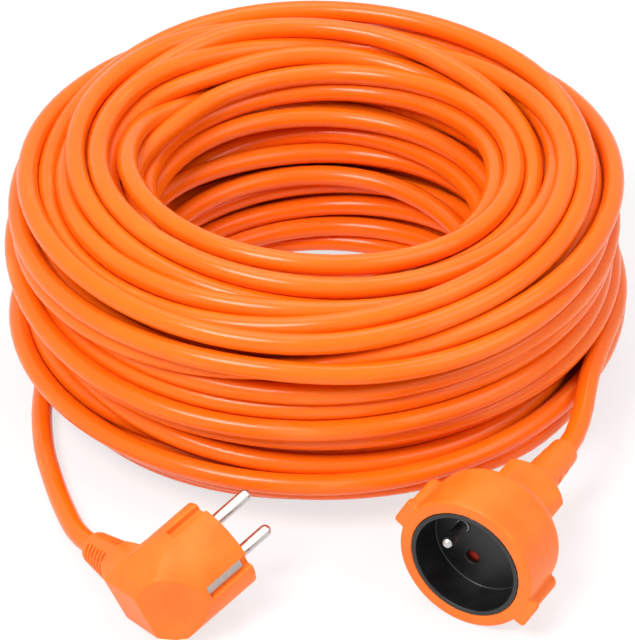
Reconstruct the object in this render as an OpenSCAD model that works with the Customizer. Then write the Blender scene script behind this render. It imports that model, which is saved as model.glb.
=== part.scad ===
// Coiled extension cord: a three-core cable wound by hand into a thick standing bundle, with an
// angled earthed plug on one end and a round trailing socket with a sprung shutter on the other.
// Millimetres, +Z up, origin on the floor under the middle of the whole object.

/* [Cable] */
// Outside diameter of the cable
cord_d = 8.2; // [7.6:0.1:8.6]
// Outside diameter of one insulated wire inside it
wire_d = 2.8; // [2.4:0.1:3]
// Radial room round the cable in its strain reliefs
cord_room = 0.05; // [0.02:0.01:0.1]

/* [Coil] */
// Mean radius of the turns
turn_r = 94; // [90:1:102]
// Radial width of the bundle of turns
bundle_w = 58; // [55:1:60]
// Height of the bundle of turns
bundle_h = 102; // [98:1:106]
// Rounding of the bundle's two inner edges
inner_round = 8; // [7.5:0.5:10]
// Turns in the outer layer that shows
loops = 28; // [26:1:28]
// Height at which the socket's lead joins the outer wall
join_z = 36; // [34:1:38]
// Angle round the coil at which the socket's lead joins it
join_angle = -20; // [-24:1:-16]
// Distance of the coil's axis behind the origin
coil_back = 32.6; // [28:0.1:38]

/* [Plug] */
// Diameter of a contact pin
pin_d = 4.8; // [4.7:0.05:4.9]
// Length of a contact pin in front of the plug's face
pin_l = 19; // [18:0.5:20]
// Distance between the two contact pins
pin_pitch = 19; // [18.5:0.5:19.5]
// Distance of the earth hole from the plug's axis
earth_offset = 10; // [9.5:0.25:10.5]
// Diameter of the plug's barrel
barrel_d = 38; // [36:0.5:40]
// Length of the plug's round barrel
barrel_l = 20; // [18:1:23]
// Depth of the whole plug behind its face
grip_depth = 42; // [40:1:44]
// Width of the flat at the back of the grip
grip_back_w = 21; // [18:1:25]
// Distance from the pins' axis to the end of the strain relief
plug_reach = 47.5; // [46:0.5:52]
// Depth of the cable's axis behind the plug's face
cable_depth = 29.5; // [28:0.5:30]
// Diameter of the plug's strain relief at its end
plug_neck_d = 12.8; // [12:0.2:14]
// Diameter of the pin carrier
bridge_d = 29; // [27:0.5:30]
// Thickness of the pin carrier
bridge_t = 9; // [8:0.5:10]
// Width of the earth clips
clip_w = 3.6; // [3.2:0.2:4.2]
// Thickness of the earth strap
clip_t = 0.8; // [0.6:0.1:1]
// Depth of the clip recesses and of the guide grooves
groove_depth = 3.1; // [2.8:0.1:3.2]
// Width of the clip recesses and of the guide grooves
groove_w = 5.6; // [5.4:0.2:6.4]

/* [Socket] */
// Diameter of the socket's body at its mouth
body_d = 55; // [52:0.5:58]
// Length of the straight part of the body
body_l = 23; // [21:1:25]
// Depth at which the rounded back of the body meets the collar
dome_depth = 32; // [31:1:35]
// Inside diameter of the well
well_d = 41; // [40.5:0.1:41.5]
// Depth of the well
well_depth = 15; // [14.5:0.5:16]
// Thickness of the well's wall
well_wall = 1.9; // [1.5:0.1:2.4]
// Thickness of the well's floor
floor_t = 2.5; // [2:0.1:3]
// Diameter of the contact holes
hole_d = 5.4; // [5.2:0.1:5.6]
// Length of the socket's earth pin in front of the well's floor
earth_pin_l = 13.5; // [12.5:0.5:14]
// Reach of the finger ears from the socket's axis
ear_reach = 31.2; // [30:0.2:33]
// Width of the finger ears
ear_w = 12; // [10:0.5:14]
// Width across the square collar
collar_w = 26; // [25.5:0.5:28]
// Depth of the collar's back edge
collar_depth = 48.5; // [46:0.5:50]
// Length of the whole socket
socket_l = 80; // [76:1:86]
// Diameter of the socket's strain relief at its end
socket_neck_d = 11.4; // [11:0.2:13]

/* [Shutter] */
// Width of the shutter along its travel
shutter_w = 7.2; // [6.6:0.2:7.8]
// Length of the shutter across both holes
shutter_l = 26.6; // [26:0.2:27]
// Thickness of the shutter
shutter_t = 2.4; // [2:0.1:2.6]
// Distance that the shutter slides to clear the holes
shutter_travel = 6.5; // [6.3:0.1:6.6]
// Room round the shutter in its guide
guide_room = 0.3; // [0.2:0.05:0.4]
// Thickness of the spring strip
spring_t = 0.5; // [0.4:0.05:0.6]

/* [Lay on the floor] */
// Direction of the plug's pins seen from above
plug_heading = 39; // [37:1:41]
// Slope of the plug's pins above the floor
plug_rise = 20; // [19:1:21]
// Roll of the plug about its pins
plug_roll = 78; // [77:1:79]
// Height of the middle of the plug's face
plug_z = 28.5; // [28:0.1:30]
// Direction of the socket's mouth seen from above
socket_heading = 240; // [238:1:242]
// Roll of the socket about its axis
socket_roll = 62; // [58:1:66]

/* [Hidden] */
$fn = 64;
// Small value by which a cutting shape runs past the solid it cuts
over = 0.5;

// Finishes
cable_orange = "#FF6A13";
mould_orange = "#FF7F2A";
black = "#202020";
nickel = "#C9CBCE";
brass = "#C9A94F";
steel = "#9AA0A6";
shutter_red = "#B3241C";
carrier_white = "#E7E2D4";
brown = "#6B3F22";
blue = "#2F6DB5";
green_yellow = "#8FB52B";

// Section of the bundle: its outer layer runs down a wall, round a wide corner, in along the floor,
// round a tight corner, up the inner wall and back over the top
cord_r = cord_d / 2;
floor_cut = cord_d / 10;
row_r = bundle_w / 2 - cord_r;
wall_r = turn_r + row_r;
side_h = bundle_h - bundle_w + floor_cut;
low_z = bundle_w / 2 - floor_cut;
high_z = low_z + side_h;
mid_z = (low_z + high_z) / 2;
wide_l = PI / 2 * row_r;
tight_l = PI / 2 * inner_round;
flat_l = row_r - inner_round;
inner_l = side_h + 2 * flat_l;
edge_x = turn_r - flat_l;
section_l = side_h + inner_l + 2 * (wide_l + flat_l + tight_l);
row_step = section_l / loops;
start_s = mid_z - join_z;
rings_per_turn = 24;
tube_sides = 6;
// Turns between the socket's lead and the plug's lead on the outer wall
lower_turns = 3 + (180 - join_angle) / 360;
// Where a run of turns begins or ends inside the bundle, it dips by this much over a sixth of a turn
dip = cord_d + 1;
dip_turns = 1 / 6;
core_room = 0.2 + wall_r * (1 - cos(180 / rings_per_turn));
core_inset = cord_r + core_room;
core_r = row_r - core_inset;
groove_reach = dip + cord_r + 0.4;
groove_half_w = cord_r + 0.4 + row_step * dip_turns;

// Point on the section, and the direction out of the bundle there, at distance s along the section
// from the middle of the outer wall downwards
function section(s) =
    let (a = s - side_h / 2, b = a - wide_l, c = b - flat_l, d = c - tight_l,
         e = d - inner_l, f = e - tight_l, g = f - flat_l, h = g - wide_l)
    a < 0 ? [[wall_r, mid_z - s], [1, 0]]
    : b < 0 ? on_arc([turn_r, low_z], row_r, -arc_deg(a, row_r))
    : c < 0 ? [[turn_r - b, low_z - row_r], [0, -1]]
    : d < 0 ? on_arc([edge_x, low_z - flat_l], inner_round, -90 - arc_deg(c, inner_round))
    : e < 0 ? [[turn_r - row_r, low_z - flat_l + d], [-1, 0]]
    : f < 0 ? on_arc([edge_x, high_z + flat_l], inner_round, 180 - arc_deg(e, inner_round))
    : g < 0 ? [[edge_x + f, high_z + row_r], [0, 1]]
    : h < 0 ? on_arc([turn_r, high_z], row_r, 90 - arc_deg(g, row_r))
    : [[wall_r, high_z - h], [1, 0]];
function arc_deg(l, r) = l / r * 180 / PI;
function on_arc(middle, r, angle) = let (n = [cos(angle), sin(angle)]) [middle + r * n, n];
function unit(v) = v / norm(v);
function smooth(t) = let (c = max(0, min(1, t))) c * c * (3 - 2 * c);
// Centre and outward direction of the cable after u turns, dipped into the bundle by a depth
function turn_angle(u) = join_angle + 360 * u;
function wound(u, depth) =
    let (p = section(start_s + row_step * u), n = p[1], q = p[0] - depth * n, a = turn_angle(u))
    [[q[0] * cos(a), q[0] * sin(a), q[1]], [n[0] * cos(a), n[0] * sin(a), n[1]]];
function along(u) = [-sin(turn_angle(u)), cos(turn_angle(u)), 0];
function shifted(w, v) = [w[0] + v, w[1]];

// Runs of turns as lists of centres and outward directions, with straight ends one diameter long
function dip_at(u, first, last) =
    dip * max(smooth(1 - (u - first) / dip_turns), smooth(1 - (last - u) / dip_turns));
function run(first, last, dips) =
    let (count = ceil((last - first) * rings_per_turn), step = (last - first) / count,
         w = [for (i = [0:count]) let (u = first + i * step) wound(u, dips ? dip_at(u, first, last) : 0)])
    concat([shifted(w[0], -cord_d * along(first))], w, [shifted(w[count], cord_d * along(last))]);
function run_angles(first, last) =
    let (count = ceil((last - first) * rings_per_turn), step = (last - first) / count)
    concat([first], [for (i = [0:count]) first + i * step], [last]);
lower_run = run(0, lower_turns, false);
upper_run = run(lower_turns, loops, true);
lower_along = [for (u = run_angles(0, lower_turns)) along(u)];
upper_along = [for (u = run_angles(lower_turns, loops)) along(u)];

// One ring of points round a centre, across a direction, counted from a side direction
function ring(centre, ahead, side, sides, r) =
    let (other = cross(ahead, side))
    [for (a = [180 / sides:360 / sides:360]) centre + r * cos(a) * side + r * sin(a) * other];
// The turns that stand on the floor are pressed a little flat
function grounded(p) = [p[0], p[1], max(0, p[2])];

// Least gap between turns of a run, and between two runs, from their centres
half_turn = rings_per_turn / 2;
function self_gap(w) =
    let (last = len(w) - 1)
    min([for (i = [0:last - half_turn], j = [i + half_turn:last]) norm(w[i][0] - w[j][0])]) - cord_d;
function pair_gap(v, w) = min([for (a = v, b = w) norm(a[0] - b[0])]) - cord_d;
echo(least_gap_upper_turns = self_gap(upper_run));
echo(least_gap_lower_turns = self_gap(lower_run));
echo(least_gap_between_them = pair_gap(lower_run, upper_run));

// Turning of a point from the plug's or the socket's own frame into the coil's
function turn_z(v, a) = [v[0] * cos(a) - v[1] * sin(a), v[0] * sin(a) + v[1] * cos(a), v[2]];
function turn_y(v, a) = [v[0] * cos(a) + v[2] * sin(a), v[1], v[2] * cos(a) - v[0] * sin(a)];
function plug_way(v) = turn_z(turn_y(turn_z(v, plug_roll), 90 - plug_rise), plug_heading);
function socket_way(v) = turn_z(turn_y(turn_z(v, socket_roll), 90), socket_heading);

// Places of the plug and the socket, measured from the coil's axis
plug_seat = [-35.7, -wall_r - 38.9, plug_z];
socket_seat = [54, -wall_r - 51.5, body_d / 2];

// Routes of the two free leads, as centres of their rings, seen from the coil's axis
plug_neck_end = plug_seat + plug_way([plug_reach, 0, -cable_depth]);
plug_neck_way = plug_way([1, 0, 0]);
plug_join = lower_run[len(lower_run) - 1][0];
plug_route = [
    [10.4 - wall_r, -26, cord_r + 0.5],
    [9.9 - wall_r, -47, cord_r + 0.2],
    [12.4 - wall_r, -72, cord_r + 0.2],
    [19.4 - wall_r, plug_seat[1] + 57.3, cord_r + 0.4]
];
plug_path = concat([plug_join], plug_route, [plug_neck_end + 14 * plug_neck_way, plug_neck_end]);
socket_neck_end = socket_seat + socket_way([0, 0, -socket_l]);
socket_neck_way = socket_way([0, 0, -1]);
socket_join = lower_run[0][0];
socket_lead_start = [socket_neck_end, socket_neck_end + cord_d * socket_neck_way];
socket_route = [[wall_r - 16.4, -77.6, 30], [wall_r - 15, -64.9, 33.6], [wall_r - 11.2, -52.5, 35.8]];
socket_path = concat(socket_lead_start, socket_route, [socket_join]);

// Plug
barrel_r = barrel_d / 2;
pin_room = 0.05;
hole_room = 0.1;
bridge_room = 0.1;
recess_x = barrel_r - groove_depth;
pin_root_d = 5.2;
pin_flange_d = 6.6;
pin_flange_t = 1.2;
pin_tail_d = 3.2;
pin_tail_l = 6.8;
crimp_wall = 0.65;
crimp_l = 10;
crimp_top = bridge_t + pin_flange_t + 0.4;
strap_depth = 19;
sleeve_wall = 0.65;
grip_end_x = 5.4;
grip_slope_depth = 22;
grip_waist_w = 29;
grip_waist_depth = 37;
grip_tail_x = 30;
grip_tail_w = 13.4;
neck_root_d = 21;
neck_root_x = 16;
relief_slots = 6;
relief_pitch = 2.6;
relief_slot_w = 1.2;
spine_w = 4.4;
relief_wall = 1;
wire_r = wire_d / 2;
wire_spread = wire_d / 2 / cos(30) + 0.25;
plug_cable_start = 20;
plug_chamber_r = 14;
plug_chamber_depth = 27;
plug_wire_bend = 23;
wire_room_w = 16;

// Socket
body_r = body_d / 2;
well_r = well_d / 2;
insert_r = well_r + well_wall;
insert_room = 0.1;
insert_depth = well_depth + floor_t;
guide_h = shutter_t + 2 * guide_room;
carrier_r = 19;
carrier_depth = 28;
plate_depth = insert_depth + guide_h;
contact_out_d = pin_d + 2 * pin_room + 1.1;
contact_end = 29.3;
contact_flange_t = 0.8;
tab_w = 3;
socket_crimp_d = 3.8;
socket_crimp_y = 5;
socket_crimp_end = 38;
earth_crimp_end = 36;
chamber_wall = 0.9;
rear_room_r = 17;
rear_room_depth = 30.5;
chamber_depth = 44;
cable_start = 48;
bevel_depth = 58;
spring_packed_l = 6.5;
guide_stop = shutter_w / 2 + shutter_travel + spring_packed_l;
guide_corner_r = 17.5;
spring_runs = 5;

module in_place() {
    translate([0, coil_back, 0]) children();
}

module on_plug() {
    in_place()
        translate(plug_seat)
            rotate([0, 0, plug_heading])
                rotate([0, 90 - plug_rise, 0])
                    rotate([0, 0, plug_roll])
                        children();
}

module on_socket() {
    in_place()
        translate(socket_seat)
            rotate([0, 0, socket_heading])
                rotate([0, 90, 0])
                    rotate([0, 0, socket_roll])
                        children();
}

// Closed tube through a list of rings that all have the same number of points
module tube(rings) {
    n = len(rings[0]);
    last = len(rings) - 1;
    sides = [
        for (i = [0:last - 1], k = [0:n - 1])
            let (a = i * n + k, b = i * n + (k + 1) % n)
            each [[a, b + n, b], [a, a + n, b + n]]
    ];
    start_cap = [for (k = [1:n - 2]) [0, k, k + 1]];
    end_cap = [for (k = [1:n - 2]) [last * n, last * n + k + 1, last * n + k]];
    polyhedron(points = [for (r = rings) each r], faces = concat(sides, start_cap, end_cap));
}

module wound_tube(run, ahead) {
    tube([
        for (i = [0:len(run) - 1])
            [for (p = ring(run[i][0], ahead[i], run[i][1], tube_sides, cord_r)) grounded(p)]
    ]);
}

// Tube along a path, its rings across the path and its end rings across the two given directions
module swept(path, first_way, last_way, up, sides, r) {
    last = len(path) - 1;
    inner = [for (i = [1:last - 1]) unit(unit(path[i + 1] - path[i]) + unit(path[i] - path[i - 1]))];
    ways = concat([unit(first_way)], inner, [unit(last_way)]);
    tube([for (i = [0:last]) ring(path[i], ways[i], unit(cross(ways[i], up)), sides, r)]);
}

module lead(path, first_way, last_way) {
    swept(path, first_way, last_way, [0, 0, 1], 8, cord_r);
}

module wire(path) {
    last = len(path) - 1;
    swept(path, path[1] - path[0], path[last] - path[last - 1], [0, 1, 0], 12, wire_r);
}

// Place of one of the three wires, a third of a circle apart round the cable's axis
function wire_seat(angle) = wire_spread * [cos(angle), sin(angle)];

module coil_core() {
    color(cable_orange)
        in_place()
            rotate_extrude($fn = 96)
                difference() {
                    core_section();
                    end_groove(loops);
                    end_groove(lower_turns);
                }
}

module core_section() {
    corner_r = inner_round - core_inset;
    polygon(concat(
        [for (a = [0:-15:-90]) [turn_r, low_z] + core_r * [cos(a), sin(a)]],
        [for (a = [-90:-45:-180]) [edge_x, low_z - flat_l] + corner_r * [cos(a), sin(a)]],
        [for (a = [180:-45:90]) [edge_x, high_z + flat_l] + corner_r * [cos(a), sin(a)]],
        [for (a = [90:-15:0]) [turn_r, high_z] + core_r * [cos(a), sin(a)]]
    ));
}

// Groove that takes an end of the outer layer where it dips into the bundle
module end_groove(u) {
    p = section(start_s + row_step * u);
    translate(p[0])
        rotate(atan2(p[1][1], p[1][0]))
            translate([-groove_reach, -groove_half_w])
                square([groove_reach + cord_r, 2 * groove_half_w]);
}

module coil_upper_turns() {
    color(cable_orange) in_place() wound_tube(upper_run, upper_along);
}

module coil_lower_turns() {
    color(cable_orange) in_place() wound_tube(lower_run, lower_along);
}

module plug_lead() {
    color(cable_orange) in_place() lead(plug_path, along(lower_turns), -plug_neck_way);
}

module socket_lead() {
    color(cable_orange) in_place() lead(socket_path, socket_neck_way, along(0));
}

module plug_body() {
    color(mould_orange)
        on_plug()
            difference() {
                plug_outside();
                plug_hollow();
            }
}

module plug_outside() {
    difference() {
        union() {
            translate([0, 0, -barrel_l]) cylinder(r = barrel_r, h = barrel_l);
            plug_grip();
        }
        for (side = [-1, 1]) {
            plug_recess(side);
            guide_groove(side);
        }
    }
    plug_neck();
}

// Grip behind the barrel: round seen from the front, chamfered at the back and at the far end
module plug_grip() {
    intersection() {
        translate([0, 0, -grip_depth])
            linear_extrude(grip_depth - barrel_l + over) {
                circle(r = barrel_r);
                polygon([
                    [0, -neck_root_d / 2],
                    [neck_root_x, -neck_root_d / 2],
                    [grip_tail_x, -grip_tail_w / 2],
                    [grip_tail_x, grip_tail_w / 2],
                    [neck_root_x, neck_root_d / 2],
                    [0, neck_root_d / 2]
                ]);
            }
        rotate([90, 0, 0])
            linear_extrude(2 * barrel_d, center = true)
                polygon([
                    [-barrel_r, 0],
                    [-barrel_r, -grip_slope_depth],
                    [-grip_end_x, -grip_depth],
                    [neck_root_x, -grip_depth],
                    [grip_tail_x, -cable_depth - grip_tail_w / 2],
                    [grip_tail_x, -cable_depth + grip_tail_w / 2],
                    [barrel_r, -grip_slope_depth],
                    [barrel_r, 0]
                ]);
        rotate([90, 0, 90])
            linear_extrude(3 * barrel_d, center = true)
                polygon([
                    [-barrel_r, 0],
                    [-barrel_r, -grip_slope_depth],
                    [-grip_waist_w / 2, -grip_waist_depth],
                    [-grip_back_w / 2, -grip_depth],
                    [grip_back_w / 2, -grip_depth],
                    [grip_waist_w / 2, -grip_waist_depth],
                    [barrel_r, -grip_slope_depth],
                    [barrel_r, 0]
                ]);
    }
}

// Recess that shows an earth clip on one side of the barrel
module plug_recess(side) {
    translate([side > 0 ? recess_x : -recess_x - barrel_r, -groove_w / 2, -strap_depth - clip_t])
        cube([barrel_r, groove_w, strap_depth + clip_t + over]);
}

module guide_groove(side) {
    translate([-groove_w / 2, side > 0 ? recess_x : -recess_x - barrel_r, -barrel_l + 4])
        cube([groove_w, barrel_r, barrel_l]);
}

// Tapered strain relief with slots from both sides that leave a spine along each edge
module plug_neck() {
    difference() {
        translate([neck_root_x, 0, -cable_depth])
            rotate([0, 90, 0])
                cylinder(r1 = neck_root_d / 2, r2 = plug_neck_d / 2, h = plug_reach - neck_root_x);
        for (i = [0:relief_slots - 1]) {
            relief_slot(plug_reach - 3 - relief_slot_w - i * relief_pitch);
        }
    }
}

module relief_slot(x) {
    difference() {
        translate([x, -neck_root_d, -cable_depth - neck_root_d])
            cube([relief_slot_w, 2 * neck_root_d, 2 * neck_root_d]);
        translate([x - over, 0, -cable_depth])
            rotate([0, 90, 0])
                cylinder(r = cord_r + relief_wall, h = relief_slot_w + 2 * over);
        translate([x - over, -neck_root_d - over, -cable_depth - spine_w / 2])
            cube([relief_slot_w + 2 * over, 2 * neck_root_d + 2 * over, spine_w]);
    }
}

module plug_hollow() {
    translate([0, 0, -bridge_t]) cylinder(r = bridge_d / 2 + bridge_room, h = bridge_t + over);
    translate([0, 0, -plug_chamber_depth])
        cylinder(r = plug_chamber_r, h = plug_chamber_depth - bridge_t + over);
    // Slot for the earth strap, from one clip recess to the other
    translate([-recess_x - clip_t, -clip_w / 2 - hole_room, -strap_depth - clip_t - hole_room])
        cube([2 * (recess_x + clip_t), clip_w + 2 * hole_room, clip_t + 2 * hole_room]);
    // Room for the wires to turn towards the cable
    translate([-2, -wire_room_w / 2, -cable_depth - 6])
        cube([plug_cable_start + 2, wire_room_w, 10.5]);
    translate([plug_cable_start - over, 0, -cable_depth])
        rotate([0, 90, 0])
            cylinder(r = cord_r + cord_room, h = plug_reach);
}

module plug_bridge() {
    color(carrier_white)
        on_plug()
            difference() {
                translate([0, 0, -bridge_t]) cylinder(r = bridge_d / 2, h = bridge_t);
                for (side = [-1, 1]) {
                    translate([0, side * pin_pitch / 2, -bridge_t - over])
                        cylinder(r = pin_root_d / 2 + pin_room, h = bridge_t + 2 * over);
                }
                translate([-earth_offset, 0, -bridge_t - over])
                    cylinder(r = pin_d / 2 + hole_room, h = bridge_t + 2 * over);
            }
}

// Contact pin from one depth to another, with a round tip
module round_pin(from, to) {
    straight = to - from - pin_d / 2;
    rotate_extrude()
        translate([0, from])
            intersection() {
                union() {
                    square([pin_d / 2, straight]);
                    translate([0, straight]) circle(r = pin_d / 2);
                }
                square([pin_d, to - from]);
            }
}

// Pin with a thicker root in the carrier, a flange behind it and a tail for its crimp sleeve
module plug_pin(side) {
    color(nickel)
        on_plug()
            translate([0, side * pin_pitch / 2, 0]) {
                round_pin(0, pin_l);
                translate([0, 0, -bridge_t]) cylinder(d = pin_root_d, h = bridge_t);
                translate([0, 0, -bridge_t - pin_flange_t])
                    cylinder(d = pin_flange_d, h = pin_flange_t);
                translate([0, 0, -bridge_t - pin_flange_t - pin_tail_l])
                    cylinder(d = pin_tail_d, h = pin_tail_l + over);
            }
}

module plug_pin_line() {
    plug_pin(1);
}

module plug_pin_neutral() {
    plug_pin(-1);
}

module plug_earth_strap() {
    color(nickel)
        on_plug() {
            translate([-recess_x - clip_t, -clip_w / 2, -strap_depth - clip_t])
                cube([2 * (recess_x + clip_t), clip_w, clip_t]);
            for (side = [-1, 1]) {
                translate([side > 0 ? recess_x : -recess_x - clip_t, -clip_w / 2, -strap_depth - clip_t])
                    cube([clip_t, clip_w, strap_depth - 2]);
            }
        }
}

module plug_earth_contact() {
    color(brass)
        on_plug()
            translate([-earth_offset, 0, -strap_depth])
                difference() {
                    cylinder(r = pin_d / 2 + hole_room + sleeve_wall, h = strap_depth - bridge_t);
                    translate([0, 0, -over])
                        cylinder(r = pin_d / 2 + hole_room, h = strap_depth);
                }
}

module plug_crimp(side) {
    color(brass)
        on_plug()
            translate([0, side * pin_pitch / 2, -crimp_top - crimp_l])
                difference() {
                    cylinder(r = pin_tail_d / 2 + pin_room + crimp_wall, h = crimp_l);
                    translate([0, 0, -over])
                        cylinder(r = pin_tail_d / 2 + pin_room, h = crimp_l + 2 * over);
                }
}

module plug_crimp_line() {
    plug_crimp(1);
}

module plug_crimp_neutral() {
    plug_crimp(-1);
}

// Wire from a crimp sleeve at side y to its place in the cable's end
module plug_power_wire(side) {
    seat = wire_seat(side > 0 ? -30 : 210);
    start_z = -bridge_t - pin_flange_t - pin_tail_l - 0.2;
    on_plug()
        wire([
            [0, side * pin_pitch / 2, start_z],
            [0, side * pin_pitch / 2, -plug_wire_bend],
            [plug_cable_start - 5, seat[0], -cable_depth + seat[1]],
            [plug_cable_start, seat[0], -cable_depth + seat[1]]
        ]);
}

module plug_wire_brown() {
    color(brown) plug_power_wire(1);
}

module plug_wire_blue() {
    color(blue) plug_power_wire(-1);
}

module plug_wire_earth() {
    seat = wire_seat(90);
    color(green_yellow)
        on_plug()
            wire([
                [7, 0, -strap_depth - clip_t],
                [7, 0, -plug_wire_bend],
                [plug_cable_start - 5, seat[0], -cable_depth + seat[1]],
                [plug_cable_start, seat[0], -cable_depth + seat[1]]
            ]);
}

module plug_cable_end() {
    color(cable_orange)
        on_plug()
            translate([plug_cable_start, 0, -cable_depth])
                rotate([0, 90, 0])
                    cylinder(r = cord_r, h = plug_reach - plug_cable_start);
}

module socket_body() {
    color(mould_orange)
        on_socket()
            difference() {
                socket_outside();
                socket_hollow();
            }
}

module socket_outside() {
    difference() {
        rotate_extrude($fn = 96)
            body_section();
        translate([0, 0, -socket_l]) cylinder(r = collar_w / 3, h = socket_l - dome_depth);
    }
    socket_collar();
    socket_neck();
    for (side = [-1, 1]) {
        finger_ear(side);
    }
}

// Half section of the round body: nearly straight to the shoulder, then an elliptic back
module body_section() {
    edge = 1.2;
    shoulder_r = body_r - 0.8;
    back_r = collar_w / 2;
    back = [
        for (a = [90:-7.5:0])
            [back_r + (shoulder_r - back_r) * sin(a), -body_l - (dome_depth - body_l) * cos(a)]
    ];
    mouth = [for (a = [90:-30:0]) [body_r - edge + edge * cos(a), -edge + edge * sin(a)]];
    polygon(concat([[0, 0]], mouth, back, [[0, -dome_depth]]));
}

module socket_collar() {
    intersection() {
        translate([-collar_w / 2, -collar_w / 2, -bevel_depth])
            cube([collar_w, collar_w, bevel_depth - dome_depth + 4]);
        translate([0, 0, -bevel_depth]) {
            translate([0, 0, bevel_depth - collar_depth])
                cylinder(r = collar_w * 0.62, h = collar_depth - dome_depth + 4);
            cylinder(r1 = socket_neck_d * 0.66, r2 = collar_w * 0.62, h = bevel_depth - collar_depth);
        }
    }
}

module socket_neck() {
    neck_l = socket_l - bevel_depth + 3;
    difference() {
        translate([0, 0, -socket_l])
            cylinder(r1 = socket_neck_d / 2, r2 = socket_neck_d * 0.66, h = neck_l);
        for (i = [0:2], side = [-1, 1]) {
            x = side > 0 ? cord_r + relief_wall : -cord_r - relief_wall - socket_neck_d;
            translate([x, -socket_neck_d, -socket_l + 4 + i * 6])
                cube([socket_neck_d, 2 * socket_neck_d, relief_slot_w]);
        }
    }
}

// Ear: a flat tab at the mouth and a round rib that runs back along the body
module finger_ear(side) {
    ear_t = 4;
    rib_r = 3;
    rib_l = 17;
    corner = 1.5;
    translate([0, 0, -ear_t])
        linear_extrude(ear_t - 0.4)
            difference() {
                union() {
                    translate([side > 0 ? 0 : -ear_reach, -ear_w / 2 + corner])
                        square([ear_reach, ear_w - 2 * corner]);
                    translate([side > 0 ? 0 : -ear_reach + corner, -ear_w / 2])
                        square([ear_reach - corner, ear_w]);
                    for (y = [-1, 1]) {
                        translate([side * (ear_reach - corner), y * (ear_w / 2 - corner)])
                            circle(r = corner, $fn = 24);
                    }
                }
                circle(r = insert_r + 2);
            }
    translate([side * (ear_reach - rib_r - 0.6), 0, -ear_t - rib_l]) {
        cylinder(r = rib_r, h = rib_l + 1, $fn = 32);
        sphere(r = rib_r, $fn = 32);
    }
}

module socket_hollow() {
    translate([0, 0, -insert_depth]) cylinder(r = insert_r + insert_room, h = insert_depth + over);
    translate([0, 0, -carrier_depth]) cylinder(r = carrier_r + insert_room, h = carrier_depth);
    translate([0, 0, -rear_room_depth]) cylinder(r = rear_room_r, h = rear_room_depth);
    chamber_w = collar_w - 2 * chamber_wall;
    intersection() {
        translate([-chamber_w / 2, -chamber_w / 2, -chamber_depth])
            cube([chamber_w, chamber_w, chamber_depth - carrier_depth + over]);
        translate([0, 0, -chamber_depth - over])
            cylinder(r = collar_w * 0.62 - chamber_wall, h = chamber_depth);
    }
    translate([0, 0, -socket_l - over]) cylinder(r = cord_r + cord_room, h = socket_l);
}

module socket_insert() {
    color(black)
        on_socket()
            difference() {
                translate([0, 0, -insert_depth]) cylinder(r = insert_r, h = insert_depth, $fn = 96);
                translate([0, 0, -well_depth]) cylinder(r = well_r, h = well_depth + over, $fn = 96);
                for (side = [-1, 1]) {
                    translate([0, side * pin_pitch / 2, -insert_depth - over])
                        cylinder(d = hole_d, h = floor_t + 2 * over);
                }
                translate([-earth_offset, 0, -insert_depth - over])
                    cylinder(r = pin_root_d / 2 + pin_room, h = floor_t + 2 * over);
            }
}

module socket_earth_pin() {
    tip = -well_depth + earth_pin_l;
    color(nickel)
        on_socket()
            translate([-earth_offset, 0, 0]) {
                round_pin(-well_depth, tip);
                translate([0, 0, -carrier_depth]) cylinder(d = pin_root_d, h = carrier_depth - well_depth);
                translate([0, 0, -carrier_depth - 1]) cylinder(d = pin_flange_d, h = 1);
                translate([0, 0, -earth_crimp_end])
                    cylinder(d = socket_crimp_d, h = earth_crimp_end - carrier_depth);
            }
}

// Spring tube for a contact pin, with a tab and a crimp towards the socket's axis
module socket_contact(side) {
    tube_top = -plate_depth - 0.5;
    tab_y = socket_crimp_y - 1;
    tab_l = pin_pitch / 2 - tab_y;
    color(brass)
        on_socket()
            difference() {
                union() {
                    translate([0, side * pin_pitch / 2, -contact_end])
                        cylinder(d = contact_out_d, h = contact_end + tube_top);
                    translate([0, side * pin_pitch / 2, -carrier_depth - contact_flange_t])
                        cylinder(d = contact_out_d + 1.2, h = contact_flange_t);
                    translate([-tab_w / 2, side > 0 ? tab_y : -tab_y - tab_l, -contact_end])
                        cube([tab_w, tab_l, contact_end - carrier_depth]);
                    translate([0, side * socket_crimp_y, -socket_crimp_end])
                        cylinder(d = socket_crimp_d, h = socket_crimp_end - contact_end + over);
                }
                translate([0, side * pin_pitch / 2, -contact_end - 2])
                    cylinder(r = pin_d / 2 + pin_room, h = contact_end);
            }
}

module socket_contact_line() {
    socket_contact(1);
}

module socket_contact_neutral() {
    socket_contact(-1);
}

// Carrier that holds the contacts and guides the shutter in a pocket in its front
module contact_carrier() {
    color(carrier_white)
        on_socket()
            difference() {
                translate([0, 0, -carrier_depth]) cylinder(r = carrier_r, h = carrier_depth - insert_depth);
                translate([0, 0, -plate_depth])
                    intersection() {
                        translate([-shutter_w / 2 - guide_room, -carrier_r, 0])
                            cube([guide_stop + shutter_w / 2 + guide_room, 2 * carrier_r, guide_h + over]);
                        translate([-carrier_r, -shutter_l / 2 - guide_room, 0])
                            cube([2 * carrier_r, shutter_l + 2 * guide_room, guide_h + over]);
                        cylinder(r = guide_corner_r, h = guide_h + over);
                    }
                for (side = [-1, 1]) {
                    translate([0, side * pin_pitch / 2, -carrier_depth - over])
                        cylinder(d = contact_out_d + 2 * pin_room, h = carrier_depth);
                }
                translate([-earth_offset, 0, -carrier_depth - over])
                    cylinder(r = pin_root_d / 2 + pin_room, h = carrier_depth);
            }
}

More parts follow.
